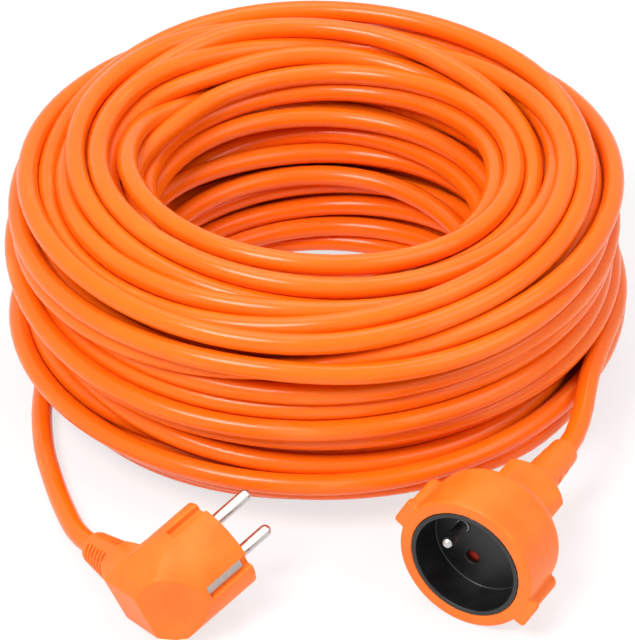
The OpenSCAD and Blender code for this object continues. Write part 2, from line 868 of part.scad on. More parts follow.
// Shutter plate with a sloped edge behind each hole, along which an entering pin pushes it aside
module socket_shutter() {
    lead_in = 1.2;
    color(shutter_red)
        on_socket()
            translate([0, 0, -insert_depth - guide_room - shutter_t])
                rotate([90, 0, 0])
                    linear_extrude(shutter_l, center = true)
                        polygon([
                            [-shutter_w / 2, 0],
                            [shutter_w / 2, 0],
                            [shutter_w / 2, shutter_t],
                            [-shutter_w / 2 + lead_in, shutter_t],
                            [-shutter_w / 2, shutter_t - lead_in]
                        ]);
}

// Flat strip folded to and fro between the shutter and the end of its guide
module shutter_spring() {
    run_l = 8;
    pitch = (guide_stop - shutter_w / 2 - spring_t) / (spring_runs - 1);
    bend_r = pitch / 2;
    color(steel)
        on_socket()
            translate([shutter_w / 2, 0, -insert_depth - guide_room - shutter_t + 0.4])
                linear_extrude(shutter_t - 0.8) {
                    for (i = [0:spring_runs - 1]) {
                        translate([i * pitch, -run_l / 2]) square([spring_t, run_l]);
                    }
                    for (i = [0:spring_runs - 2]) {
                        translate([i * pitch + bend_r + spring_t / 2, (i % 2 == 0 ? 1 : -1) * run_l / 2])
                            half_bend(bend_r, i % 2 == 0 ? 1 : -1);
                    }
                }
}

module half_bend(r, way) {
    difference() {
        circle(r = r + spring_t / 2);
        circle(r = r - spring_t / 2);
        translate([-2 * r, way > 0 ? -2 * r : 0]) square([4 * r, 2 * r]);
    }
}

// Wire from a crimp at place p, ending at depth z0, to its seat in the cable's end
module socket_wire(p, z0, angle) {
    seat = wire_seat(angle);
    on_socket()
        wire([
            [p[0], p[1], -z0],
            [p[0], p[1], -z0 - 2],
            [seat[0], seat[1], -chamber_depth + 0.5],
            [seat[0], seat[1], -cable_start]
        ]);
}

module socket_wire_brown() {
    color(brown) socket_wire([0, socket_crimp_y], socket_crimp_end, 60);
}

module socket_wire_blue() {
    color(blue) socket_wire([0, -socket_crimp_y], socket_crimp_end, -60);
}

module socket_wire_earth() {
    color(green_yellow) socket_wire([-earth_offset, 0], earth_crimp_end, 180);
}

module socket_cable_end() {
    color(cable_orange)
        on_socket()
            translate([0, 0, -socket_l])
                cylinder(r = cord_r, h = socket_l - cable_start);
}

coil_core();
coil_upper_turns();
coil_lower_turns();
plug_lead();
socket_lead();
plug_body();
plug_bridge();
plug_pin_line();
plug_pin_neutral();
plug_earth_strap();
plug_earth_contact();
plug_crimp_line();
plug_crimp_neutral();
plug_wire_brown();
plug_wire_blue();
plug_wire_earth();
plug_cable_end();
socket_body();
socket_insert();
socket_earth_pin();
socket_contact_line();
socket_contact_neutral();
contact_carrier();
socket_shutter();
shutter_spring();
socket_wire_brown();
socket_wire_blue();
socket_wire_earth();
socket_cable_end();
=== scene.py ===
"""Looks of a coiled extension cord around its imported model: cable, plug and trailing socket."""

import bpy
import numpy as np
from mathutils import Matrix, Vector


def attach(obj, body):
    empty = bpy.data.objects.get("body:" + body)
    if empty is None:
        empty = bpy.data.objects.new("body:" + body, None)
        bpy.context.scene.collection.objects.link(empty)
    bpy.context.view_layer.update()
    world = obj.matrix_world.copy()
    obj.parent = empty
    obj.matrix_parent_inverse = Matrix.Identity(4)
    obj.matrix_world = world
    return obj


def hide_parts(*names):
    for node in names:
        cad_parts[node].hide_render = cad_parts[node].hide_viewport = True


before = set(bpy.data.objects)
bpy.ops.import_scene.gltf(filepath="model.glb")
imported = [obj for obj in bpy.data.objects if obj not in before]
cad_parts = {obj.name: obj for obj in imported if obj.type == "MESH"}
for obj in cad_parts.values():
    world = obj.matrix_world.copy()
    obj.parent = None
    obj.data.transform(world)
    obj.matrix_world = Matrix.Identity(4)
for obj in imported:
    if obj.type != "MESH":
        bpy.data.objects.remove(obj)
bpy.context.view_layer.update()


# Studio. A pale matt floor under three soft lamps, the strongest of them high on the left in front, in
# an even pale surround. The camera stands far off and looks down at 36 degrees.
def linear(hex_colour):
    """Linear colour of an sRGB hex value: c/12.92 below 0.04045, else ((c + 0.055)/1.055) to the 2.4."""
    c = np.array([int(hex_colour[i:i + 2], 16) / 255 for i in (1, 3, 5)])
    c = np.where(c <= 0.04045, c / 12.92, ((c + 0.055) / 1.055) ** 2.4)
    return (*c.tolist(), 1.0)


def add(material, kind, links=(), sockets=(), **settings):
    """Adds one node: settings are its properties, sockets its input values, links (input, from socket).
    A colour mix has its two colours at inputs 6 and 7 and its result at output 2."""
    tree = material.node_tree
    node = tree.nodes.new(kind)
    for name, value in settings.items():
        setattr(node, name, value)
    for name, value in dict(sockets).items():
        node.inputs[name].default_value = value
    for name, source in dict(links).items():
        tree.links.new(source, node.inputs[name])
    return node


def blank(name):
    """A material with no nodes yet."""
    material = bpy.data.materials.new(name)
    material.use_nodes = True
    material.node_tree.nodes.clear()
    return material


def seen_rays(material):
    """1 for a ray from the camera, a mirrored one or one that went through glass, and else 0."""
    path = add(material, "ShaderNodeLightPath")
    seen = path.outputs["Is Camera Ray"]
    for way in ("Is Glossy Ray", "Is Transmission Ray"):
        either = add(material, "ShaderNodeMath", {0: seen, 1: path.outputs[way]}, operation="MAXIMUM")
        seen = either.outputs[0]
    return seen


coil_back = 0.0326
camera_back, camera_up, look_down = 1.5391, 1.1301, 35.9
focal_px, image_px, sensor_mm = 4750, 640, 24
scene = bpy.context.scene
scene.view_settings.view_transform = "Standard"
camera = bpy.data.objects.new("camera", bpy.data.cameras.new("camera"))
camera.location = (0, coil_back - camera_back, camera_up)
camera.rotation_euler = (np.radians(90 - look_down), 0, 0)
camera.data.sensor_fit = "VERTICAL"
camera.data.sensor_height = sensor_mm
camera.data.lens = focal_px / image_px * sensor_mm
camera.data.shift_x = -0.0008
camera.data.clip_start, camera.data.clip_end = 0.05, 20
scene.collection.objects.link(camera)
scene.camera = camera

white = (1, 1, 1, 1)
half = 6
floor = bpy.data.objects.new("floor", bpy.data.meshes.new("floor"))
corners = [(-half, -half, 0), (half, -half, 0), (half, half, 0), (-half, half, 0)]
floor.data.from_pydata(corners, [], [(0, 1, 2, 3)])
scene.collection.objects.link(floor)
# Matt white paper: it spreads light evenly, and to a ray that sees it floor_share of it is plain white.
floor_share = 0.72
paper = blank("matt_white_paper")
share = add(paper, "ShaderNodeMath", {0: seen_rays(paper)}, {1: floor_share}, operation="MULTIPLY")
matt = add(paper, "ShaderNodeBsdfDiffuse", {}, {"Color": linear("#F4F4F4")})
bright = add(paper, "ShaderNodeEmission", {}, {"Color": white, "Strength": 1.0})
both = add(paper, "ShaderNodeMixShader", {0: share.outputs[0], 1: matt.outputs[0], 2: bright.outputs[0]})
add(paper, "ShaderNodeOutputMaterial", {"Surface": both.outputs[0]})
floor.data.materials.append(paper)

# Strength of the surround as a light, and where a ray sees it.
unseen_level, seen_level = 0.36, 1.0
world = bpy.data.worlds.new("surround")
scene.world = world
world.use_nodes = True
world.node_tree.nodes.clear()
level = add(world, "ShaderNodeMapRange", {0: seen_rays(world)},
            {"To Min": unseen_level, "To Max": seen_level})
surround = add(world, "ShaderNodeBackground", {"Strength": level.outputs[0]}, {"Color": white})
add(world, "ShaderNodeOutputWorld", {"Surface": surround.outputs[0]})

lamp_aim = Vector((0, 0, 0.04))
for name, place, size, watts in (
    ("key_lamp", (-0.7, -0.9, 1.5), 0.8, 28.0),
    ("fill_lamp", (1.1, -0.5, 1.2), 1.2, 9.0),
    ("top_lamp", (0.0, 0.5, 1.8), 1.4, 12.0),
):
    lamp = bpy.data.objects.new(name, bpy.data.lights.new(name, "AREA"))
    lamp.data.shape = "DISK"
    lamp.data.size = size
    lamp.data.energy = watts
    lamp.location = place
    lamp.rotation_euler = (lamp_aim - Vector(place)).to_track_quat("-Z", "Y").to_euler()
    scene.collection.objects.link(lamp)


# Plug. One overmould of soft orange PVC is shot round a white carrier that holds two nickel-plated
# pins and the earth strap, whose ends show in the two side recesses. Its grip turns the cable 90
# degrees into a slotted strain relief. Edges of the mould are rounded by about half a millimetre.
def turned(x, y, z, way):
    """A plug's or socket's own directions turned to where it lies: way is (heading, slope, roll)."""
    h, s, r = np.radians(way)
    a = np.stack([x * np.cos(r) - y * np.sin(r), x * np.sin(r) + y * np.cos(r), z + 0 * x], -1)
    b = np.stack([a[..., 0] * np.cos(s) + a[..., 2] * np.sin(s), a[..., 1],
                  a[..., 2] * np.cos(s) - a[..., 0] * np.sin(s)], -1)
    return np.stack([b[..., 0] * np.cos(h) - b[..., 1] * np.sin(h),
                     b[..., 0] * np.sin(h) + b[..., 1] * np.cos(h), b[..., 2]], -1)


plug_way, plug_seat = (39, 70, 78), np.array([-0.0357, -0.1578 + coil_back, 0.0285])
pin_r, pin_l, pin_pitch = 0.0024, 0.019, 0.019
root_r, flange_r, tail_r = 0.0026, 0.0033, 0.0016
carrier_t, flange_t, tail_l = 0.009, 0.0012, 0.0068
# Width and depth of the bevel on a turned pin's edges.
edge = 0.0002


def on_plug(x, y, z):
    """A point of the plug, in metres from the middle of its face, where the plug lies."""
    return plug_seat + turned(x, y, z, plug_way)


def rounded(name, node, voxel, rounds, most):
    """A CAD node's form with round edges: a copy is rebuilt from voxels, then in each round every point
    moves half way to the mean of its neighbours, and at last it is thinned to at most so many faces."""
    piece = bpy.data.objects.new(name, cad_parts[node].data.copy())
    scene.collection.objects.link(piece)
    piece.data.materials.clear()
    for kind, settings in (("WELD", {"merge_threshold": 1e-6}),
                           ("REMESH", {"mode": "VOXEL", "voxel_size": voxel, "use_smooth_shade": True}),
                           ("SMOOTH", {"factor": 0.5, "iterations": rounds}),
                           ("DECIMATE", {"ratio": 1.0})):
        step = piece.modifiers.new(kind.lower(), kind)
        for setting, value in settings.items():
            setattr(step, setting, value)
    faces = len(piece.evaluated_get(bpy.context.evaluated_depsgraph_get()).data.loop_triangles)
    piece.modifiers["decimate"].ratio = min(1.0, most / max(faces, 1))
    shape = piece.evaluated_get(bpy.context.evaluated_depsgraph_get())
    mesh = bpy.data.meshes.new_from_object(shape)
    piece.modifiers.clear()
    piece.data = mesh
    mesh.polygons.foreach_set("use_smooth", np.ones(len(mesh.polygons), bool))
    return piece


def dome(radius, top):
    """Profile of a pin's round tip: (radius * sin b, top - radius + radius * cos b), b up to 90 degrees."""
    b = np.linspace(0, np.pi / 2, 14)[1:]
    return np.stack([radius * np.sin(b), top - radius + radius * np.cos(b)], -1)


def lathe(name, profile, place, sides=64):
    """A turned piece: each (radius, height) of the profile, top first, goes round as (radius * cos a,
    radius * sin a, height), closed by a fan to a point on the axis at each end, and is put in place."""
    r, z = np.array(profile).T
    a = 2 * np.pi * np.arange(sides) / sides
    x, y = r[:, None] * np.cos(a), r[:, None] * np.sin(a)
    points = place(x.ravel(), y.ravel(), np.repeat(z, sides))
    poles = place(np.zeros(2), np.zeros(2), z[[0, -1]])
    n = len(r)
    i, k = np.meshgrid(np.arange(n - 1), np.arange(sides), indexing="ij")
    quads = np.stack([i * sides + k, (i + 1) * sides + k, (i + 1) * sides + (k + 1) % sides,
                      i * sides + (k + 1) % sides], -1).reshape(-1, 4)
    rim, last_rim, centre = np.arange(sides), (n - 1) * sides, n * sides
    first = np.stack([np.full(sides, centre), rim, (rim + 1) % sides], -1)
    last = np.stack([np.full(sides, centre + 1), last_rim + (rim + 1) % sides, last_rim + rim], -1)
    mesh = bpy.data.meshes.new(name)
    mesh.from_pydata(np.vstack([points, poles]).tolist(), [],
                     quads.tolist() + first.tolist() + last.tolist())
    mesh.polygons.foreach_set("use_smooth", np.ones(len(mesh.polygons), bool))
    mesh.set_sharp_from_angle(angle=np.radians(50))
    piece = bpy.data.objects.new(name, mesh)
    scene.collection.objects.link(piece)
    return piece


def worked(name, colours, roughness, patch, grain, depth, stretch=(1, 1, 1), shine=()):
    """A material whose colour and roughness drift in patches between two values under a finely bumped
    grain. patch and grain are cells to the metre and depth is the bump's, in metres. stretch makes the
    grain finer along x, y and z by its three factors."""
    material = blank(name)
    where = add(material, "ShaderNodeTexCoord")
    pulled = add(material, "ShaderNodeMapping", {"Vector": where.outputs["Object"]}, {"Scale": stretch})
    patches = add(material, "ShaderNodeTexNoise", {"Vector": where.outputs["Object"]},
                  {"Scale": patch, "Detail": 4.0, "Roughness": 0.6})
    spread = add(material, "ShaderNodeMapRange", {0: patches.outputs[0]},
                 {"From Min": 0.35, "From Max": 0.65})
    fine = add(material, "ShaderNodeTexNoise", {"Vector": pulled.outputs[0]},
               {"Scale": grain, "Detail": 3.0})
    tint = add(material, "ShaderNodeMix", {0: spread.outputs[0]},
               {6: linear(colours[0]), 7: linear(colours[1])}, data_type="RGBA")
    rough = add(material, "ShaderNodeMapRange", {0: spread.outputs[0]},
                {"To Min": roughness[0], "To Max": roughness[1]})
    relief = add(material, "ShaderNodeBump", {"Height": fine.outputs[0]},
                 {"Strength": 0.35, "Distance": depth})
    shader = add(material, "ShaderNodeBsdfPrincipled",
                 {"Base Color": tint.outputs[2], "Roughness": rough.outputs[0],
                  "Normal": relief.outputs[0]}, shine)
    add(material, "ShaderNodeOutputMaterial", {"Surface": shader.outputs[0]})
    return material


def coat(node, material):
    """Gives a CAD node's material slots a material."""
    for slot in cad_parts[node].material_slots:
        slot.material = material


# Moulded PVC: satin, with the fine spark-eroded grain of its mould and softer, lighter than the cable.
moulded_pvc = worked("moulded_pvc_orange", ("#F46E1A", "#FA7A26"), (0.36, 0.5),
                     patch=60, grain=2600, depth=0.00008,
                     shine={"IOR": 1.5, "Subsurface Weight": 0.12, "Subsurface Radius": (1.0, 0.3, 0.06),
                            "Subsurface Scale": 0.002, "Specular IOR Level": 0.28})
# Bright nickel over turned brass: a soft mirror, broken by fine turning and by handling marks.
nickel = worked("nickel_plated_brass", ("#C6C4C1", "#D2D0CD"), (0.24, 0.31),
                patch=700, grain=900, depth=0.000004, shine={"Metallic": 1.0})
# The same nickel over rolled strip, duller and greyer, as the strip isn't turned or polished.
strip = worked("nickel_plated_strip", ("#A8A4A0", "#BAB6B2"), (0.3, 0.4),
               patch=500, grain=1100, depth=0.000006, shine={"Metallic": 1.0})
# Stamped brass of the contacts and crimps: warm, dull where it was drawn.
brass = worked("drawn_brass", ("#B08A3C", "#D2AC5A"), (0.24, 0.38),
               patch=300, grain=1500, depth=0.00002, shine={"Metallic": 1.0})
# Unfilled polyamide of the carriers: milky, a little shiny.
polyamide = worked("natural_polyamide", ("#DAD6C8", "#ECE9DF"), (0.34, 0.46),
                   patch=90, grain=2200, depth=0.00003,
                   shine={"IOR": 1.53, "Subsurface Weight": 0.3, "Subsurface Scale": 0.002})
# Wire insulation: thin glossy PVC, each core in its own colour, the earth core green with yellow.
wire_brown = worked("pvc_insulation_brown", ("#4A2512", "#633219"), (0.3, 0.42),
                    patch=150, grain=2400, depth=0.00002)
wire_blue = worked("pvc_insulation_blue", ("#1E4FB0", "#2C62C8"), (0.3, 0.42),
                   patch=150, grain=2400, depth=0.00002)
wire_earth = worked("pvc_insulation_green_yellow", ("#2E8B2C", "#E8D21C"), (0.3, 0.42),
                    patch=320, grain=2400, depth=0.00002)
# Cut end of the extruded sheath inside the mould, duller than the sheath in the open.
sheath_end = worked("cut_pvc_sheath", ("#F2620C", "#FF7A22"), (0.4, 0.55),
                    patch=120, grain=2000, depth=0.00004)

plug_mould = rounded("plug_overmould", "plug_body", voxel=0.0004, rounds=5, most=150000)
plug_mould.data.materials.append(moulded_pvc)
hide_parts("plug_body")
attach(plug_mould, "cord")

flange_back = -carrier_t - flange_t
tail_end = flange_back - tail_l
pin_profile = np.vstack([dome(pin_r, pin_l), [
    [pin_r, edge], [root_r - edge / 2, edge / 2], [root_r, 0], [root_r, -carrier_t],
    [flange_r - edge, -carrier_t], [flange_r, -carrier_t - edge], [flange_r, flange_back + edge],
    [flange_r - edge, flange_back], [tail_r, flange_back], [tail_r, tail_end + edge],
    [tail_r - edge, tail_end]]])
for node, y in (("plug_pin_line", pin_pitch / 2), ("plug_pin_neutral", -pin_pitch / 2)):
    pin = lathe(node.replace("pin", "turned_pin"), pin_profile, lambda x, v, z: on_plug(x, v + y, z))
    pin.data.materials.append(nickel)
    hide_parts(node)
    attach(pin, "cord")

for node, material in (
    ("plug_bridge", polyamide), ("plug_earth_strap", strip), ("plug_earth_contact", brass),
    ("plug_crimp_line", brass), ("plug_crimp_neutral", brass), ("plug_wire_brown", wire_brown),
    ("plug_wire_blue", wire_blue), ("plug_wire_earth", wire_earth), ("plug_cable_end", sheath_end),
):
    coat(node, material)


# Socket. The trailing socket's overmould carries two finger ears with ribs, a squared collar and a
# slotted neck. A black polyamide well stands in its mouth with the earth pin in it; behind the well's
# floor a red shutter slides in a white carrier that also holds the two brass contacts.
socket_way, socket_seat = (240, 90, 62), np.array([0.054, -0.1704 + coil_back, 0.0275])
well_depth, earth_tip, carrier_back, earth_back, earth_off = 0.015, -0.0015, 0.028, 0.036, 0.010
earth_flange_t, earth_tail_r = 0.001, 0.0019


def on_socket(x, y, z):
    """A point of the socket, in metres from the middle of its mouth, where the socket lies."""
    return socket_seat + turned(x, y, z, socket_way)


socket_mould = rounded("socket_overmould", "socket_body", voxel=0.00045, rounds=5, most=180000)
socket_mould.data.materials.append(moulded_pvc)
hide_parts("socket_body")
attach(socket_mould, "cord")

# Black polyamide: deep black and satin, greyer where its drawn edge catches light.
black = worked("moulded_black_polyamide", ("#0F0F10", "#1A1A1C"), (0.32, 0.46),
               patch=110, grain=2400, depth=0.00005, shine={"IOR": 1.53})
well = rounded("socket_well", "socket_insert", voxel=0.0003, rounds=3, most=120000)
well.data.materials.append(black)
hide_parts("socket_insert")
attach(well, "cord")

earth_flange_back = -carrier_back - earth_flange_t
earth_profile = np.vstack([dome(pin_r, earth_tip), [
    [pin_r, -well_depth], [root_r, -well_depth], [root_r, -carrier_back],
    [flange_r - edge, -carrier_back], [flange_r, -carrier_back - edge],
    [flange_r, earth_flange_back + edge], [flange_r - edge, earth_flange_back],
    [earth_tail_r, earth_flange_back], [earth_tail_r, -earth_back + edge],
    [earth_tail_r - edge, -earth_back]]])
earth_pin = lathe("socket_turned_earth_pin", earth_profile,
                  lambda x, y, z: on_socket(x - earth_off, y, z))
earth_pin.data.materials.append(nickel)
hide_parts("socket_earth_pin")
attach(earth_pin, "cord")

# Glossy red polyester of the shutter, and the bright steel strip of the spring that returns it.
red = worked("moulded_red_polyester", ("#B8281A", "#CC3424"), (0.28, 0.4),
             patch=200, grain=2400, depth=0.00003)
spring = worked("spring_steel", ("#8C8E92", "#A8AAAE"), (0.22, 0.34),
                patch=300, grain=1200, depth=0.00001, stretch=(1, 1, 8), shine={"Metallic": 1.0})
for node, material in (
    ("socket_contact_line", brass), ("socket_contact_neutral", brass), ("contact_carrier", polyamide),
    ("socket_shutter", red), ("shutter_spring", spring), ("socket_wire_brown", wire_brown),
    ("socket_wire_blue", wire_blue), ("socket_wire_earth", wire_earth), ("socket_cable_end", sheath_end),
):
    coat(node, material)


# Cable. Three-core 8.2 mm cable, 30 m of it, sheathed in extruded glossy orange PVC. It is wound by
# hand into a bundle of 52 turns that lie on and beside each other, and its two ends run free.
cable_d = 0.0082
turn_r = 0.094
bundle_w = 0.058
bundle_top = 0.102
inner_round, least_round = 0.008, 0.0015
row_r = bundle_w / 2 - cable_d / 2
low_z = cable_d / 2 + row_r
high_z = bundle_top - cable_d / 2 - row_r
# Points of the cable in a turn, and how many degrees the last turn covers.
steps, last_turn = 72, 200
# Turns in the outer and the inner row. Every riding-th outer turn rides on the rest, and the others lie
# inside the row's line by outer_inset, the inner ones by inner_inset. inner_shift is the share of the
# way round by which the inner row starts past the socket's lead. The tilts scale each turn's waves.
outer_turns, inner_turns, riding = 29, 23, 3
outer_inset, inner_inset, inner_shift = 0.006, 0.008, 0.03
riding_tilt, other_tilt = 2.0, 0.8
# Each of these turns changes places with the next one in the winding.
swapped = (2, 9, 14, 24, 28, 31, 34, 37, 42, 46)
# Radius and height at which the turns begin at the plug's lead and end at the socket's, two more such
# points of the plug's lead, and the points of both leads from the middle of the coil.
plug_join, socket_join = np.array([0.10714, 0.00703]), np.array([0.1189, 0.036])
plug_nearing = [[0.1098, 0.0054], [0.1083, 0.0062]]
socket_route = np.array([[102.5, -77.6, 30], [103.9, -64.9, 33.6], [107.7, -52.5, 35.8]]) / 1000
plug_route = np.array([[-108.5, -26, 4.6], [-109, -47, 4.3],
                       [-106.5, -72, 4.3], [-99.5, -100.5, 4.5]]) / 1000
# Three points at the end of each strain relief, in the cable's order: places along the socket's axis
# from its mouth, and distances from the plug's axis at exit_depth behind its face.
socket_exit = np.array([-0.074, -0.080, -0.088])
plug_exit, exit_depth = np.array([0.0615, 0.0475, 0.0415]), 0.0295


def row(share, inset=0.0):
    """Radius and height at a share of the way round a row of turns, from the middle of the outer wall
    down: straights joined by quarter circles, of radius row_r - inset outside and a tight one inside."""
    r = row_r - inset
    q = max(inner_round - inset, least_round)
    side, flat = high_z - low_z, r - q
    ends = np.cumsum([side / 2, np.pi / 2 * r, flat, np.pi / 2 * q, side + 2 * flat,
                      np.pi / 2 * q, flat, np.pi / 2 * r, side / 2])
    s = np.mod(share, 1.0) * ends[-1]
    a, b, c, d, e, f, g, h = [s - end for end in ends[:-1]]
    tests = [a < 0, b < 0, c < 0, d < 0, e < 0, f < 0, g < 0, h < 0]
    x = np.select(tests, [r + 0 * s, r * np.cos(a / r), -b, -flat - q * np.sin(c / q), -r + 0 * s,
                          -flat - q * np.cos(e / q), f - flat, r * np.sin(g / r)], r)
    z = np.select(tests, [(low_z + high_z) / 2 - s, low_z - r * np.sin(a / r), low_z - r + 0 * s,
                          low_z - flat - q * np.cos(c / q), low_z - flat + d,
                          high_z + flat + q * np.sin(e / q), high_z + r + 0 * s,
                          high_z + r * np.cos(g / r)], high_z - h)
    return np.stack([turn_r + x, z], -1)


def lead_turns(route, angles):
    """Radius and height of a lead where it passes the given angles round the coil's axis."""
    at = np.mod(np.arctan2(route[:, 1], route[:, 0]) - np.pi / 2, 2 * np.pi)
    order = np.argsort(at)
    wanted = np.mod(angles - np.pi / 2, 2 * np.pi)
    return np.stack([np.interp(wanted, at[order], np.hypot(route[:, 0], route[:, 1])[order]),
                     np.interp(wanted, at[order], route[order, 2])], -1)


def turn_places():
    """Radius and height of each turn's place in the order of winding, and how much each turn tilts. The
    winding goes a few turns up the outer row, on in the same sense all round the inner row, and round
    the rest of the outer row in the other sense."""
    shares = np.linspace(0, 1, 4001)
    first_share, last_share = (shares[np.argmin(np.linalg.norm(row(shares) - join, axis=1))]
                               for join in (plug_join, socket_join))
    outer = [row(first_share + k / outer_turns, 0 if k % riding == 0 else outer_inset)
             for k in range(outer_turns)]
    last = int(round((last_share - first_share) % 1 * outer_turns))
    inner = [row(last_share + inner_shift - k / inner_turns, inner_inset) for k in range(inner_turns)]
    places = np.array([outer[0], *outer[:last:-1], *inner, *outer[1:last + 1]])
    order = np.array([0, *range(outer_turns - 1, last, -1), *[1] * inner_turns, *range(1, last + 1)])
    for i in swapped:
        places[[i, i + 1]] = places[[i + 1, i]]
    return places, np.where(order % riding == 0, riding_tilt, other_tilt)


def wound():
    """Radius and height of the cable every 5 degrees before it settles. It eases from each turn's place
    to the next one's, and to its height are added waves of one and two to a turn and to its radius a
    wave of one to a turn. The waves fade out within 0.3 of a turn of both ends."""
    rng = np.random.default_rng(11)
    places, tilt = turn_places()
    turns = len(places)
    count = (turns - 1) * steps + last_turn * steps // 360 + 1
    u = np.arange(count) / steps
    turn = np.minimum(u.astype(int), turns - 2)
    begin, spread = rng.uniform(0, 0.5, turns)[turn], rng.uniform(0.35, 0.5, turns)[turn]
    change = np.clip((u - turn - begin) / spread, 0, 1)
    change = change * change * (3 - 2 * change)

    def eased(values):
        """From each turn's value to the next turn's."""
        return values[turn] * (1 - change) + values[np.minimum(turn + 1, turns - 1)] * change

    def wave(least, most, n):
        """n waves to a turn, with an amplitude and phase of each turn's own."""
        size, phase = tilt * rng.uniform(least, most, turns), rng.uniform(0, 2 * np.pi, turns)
        return (eased(size * np.cos(phase)) * np.cos(2 * np.pi * n * u)
                + eased(size * np.sin(phase)) * np.sin(2 * np.pi * n * u))

    at = np.stack([eased(places[:, 0]), eased(places[:, 1])], -1)
    ends = np.minimum(1, np.minimum(u, u[-1] - u) / 0.3)
    at[:, 1] += ends * (wave(0.004, 0.012, 1) + wave(0.001, 0.005, 2))
    at[:, 0] += ends * wave(0.0003, 0.002, 1)
    return at


def settled(at, held, fixed, behind):
    """The wound turns after they settle. In each round every point goes a little back to where it was
    wound and to the bundle's middle, comes back inside the outline, is pushed off the points that it
    overlaps in its own half-plane and is evened out along the cable. Held points go back to fixed."""
    # Evening is weaker in the last calm_rounds, and in the last sparse_rounds only every third has it.
    rounds, calm_rounds, sparse_rounds = 700, 200, 60
    wound_pull, middle_pull, wall_pull, push_part = 0.02, 5e-5, 0.3, 0.9
    wall_room, top_room, gap = 0.0008, 0.0004, 5e-5
    # Turns further in than inner_part of the row's radius start inner_start times loose further in.
    inner_part, inner_start = 0.7, 1.3
    # Points on each side that evening looks at, and the width of its bell curve in points.
    reach, width = 5, 1.8
    total = len(at)

    def loose(places):
        """How far in front of the inner wall a turn may lie: most low at the back of the hole."""
        return 0.0025 + 0.008 * behind * np.clip((0.06 - places[:, 1]) / 0.03, 0, 1)

    at[:, 0] -= np.where(at[:, 0] < turn_r - inner_part * row_r, inner_start * loose(at), 0)
    wanted = at.copy()
    rows = -(-total // steps)
    spare = rows * steps - total
    far = np.stack([10 + np.arange(spare), np.full(spare, 10.0)], -1)
    weight = np.exp(-0.5 * (np.arange(-reach, reach + 1) / width) ** 2)
    weight /= weight.sum()
    for i in range(rounds):
        early = 1 - i / rounds
        at = at + wound_pull * early * (wanted - at)
        middle = np.stack([np.full(total, turn_r), np.clip(at[:, 1], low_z, high_z)], -1)
        off = at - middle
        far_off = np.linalg.norm(off, axis=1, keepdims=True) + 1e-9
        outside = np.where(at[:, :1] > turn_r, np.clip(far_off - row_r - wall_room, 0, None), 0)
        at = at - off / far_off * (np.minimum(middle_pull * early, far_off) + wall_pull * outside)
        at[:, 0] += wall_pull * np.clip(turn_r - row_r - loose(at) - at[:, 0], 0, None)
        at[:, 1] -= wall_pull * np.clip(at[:, 1] - high_z - row_r - top_room, 0, None)
        grid = np.vstack([at, far]).reshape(rows, steps, 2)
        apart = grid[:, None] - grid[None]
        length = np.linalg.norm(apart, axis=-1) + 1e-12
        over = np.clip(cable_d + gap - length, 0, None)
        over[np.arange(rows), np.arange(rows)] = 0
        push = 0.5 * (apart * (over / length)[..., None]).sum(1)
        push /= np.sqrt(np.maximum(1, (over > 0).sum(1)))[..., None]
        at = at + push_part * push.reshape(-1, 2)[:total]
        if i < rounds - sparse_rounds or i % 3 == 0:
            padded = np.pad(at, ((reach, reach), (0, 0)), mode="edge")
            even = np.stack([np.convolve(padded[:, c], weight, mode="valid") for c in (0, 1)], -1)
            at = at + (0.5 if i < rounds - calm_rounds else 0.25) * (even - at)
        at[:, 1] = np.maximum(at[:, 1], cable_d / 2 + gap)
        at = at * (1 - held) + held * fixed
    return at


def laid_turns():
    """Radius and height of the cable every 5 degrees from the plug's side to the socket's: the wound
    turns, settled together with a few points of both leads. Those points stay where they are, and the
    turns' first and last ten points are held to the two joins less and less."""
    at = wound()
    count = len(at)
    lead_a = lead_turns(plug_route, np.pi + np.radians(np.arange(35, 10, -5)))
    lead_a = np.vstack([lead_a, plug_nearing])
    lead_b = lead_turns(socket_route, np.radians([-25, -30, -35, -40]))
    before, after = len(lead_a), len(lead_b)
    hold = np.clip(1 - np.arange(count) / 10, 0, 1)
    held = np.maximum(np.concatenate([np.ones(before), hold, np.zeros(after)]),
                      np.concatenate([np.zeros(before), hold[::-1], np.ones(after)]))[:, None]
    fixed = np.vstack([lead_a, np.tile(plug_join, (count // 2, 1)),
                       np.tile(socket_join, (count - count // 2, 1)), lead_b])
    at = np.vstack([lead_a, at, lead_b])
    behind = np.clip(np.cos(np.pi / 2 - (np.arange(len(at)) - before) * 2 * np.pi / steps), 0, 1)
    return settled(at, held, fixed, behind)[before:-after]


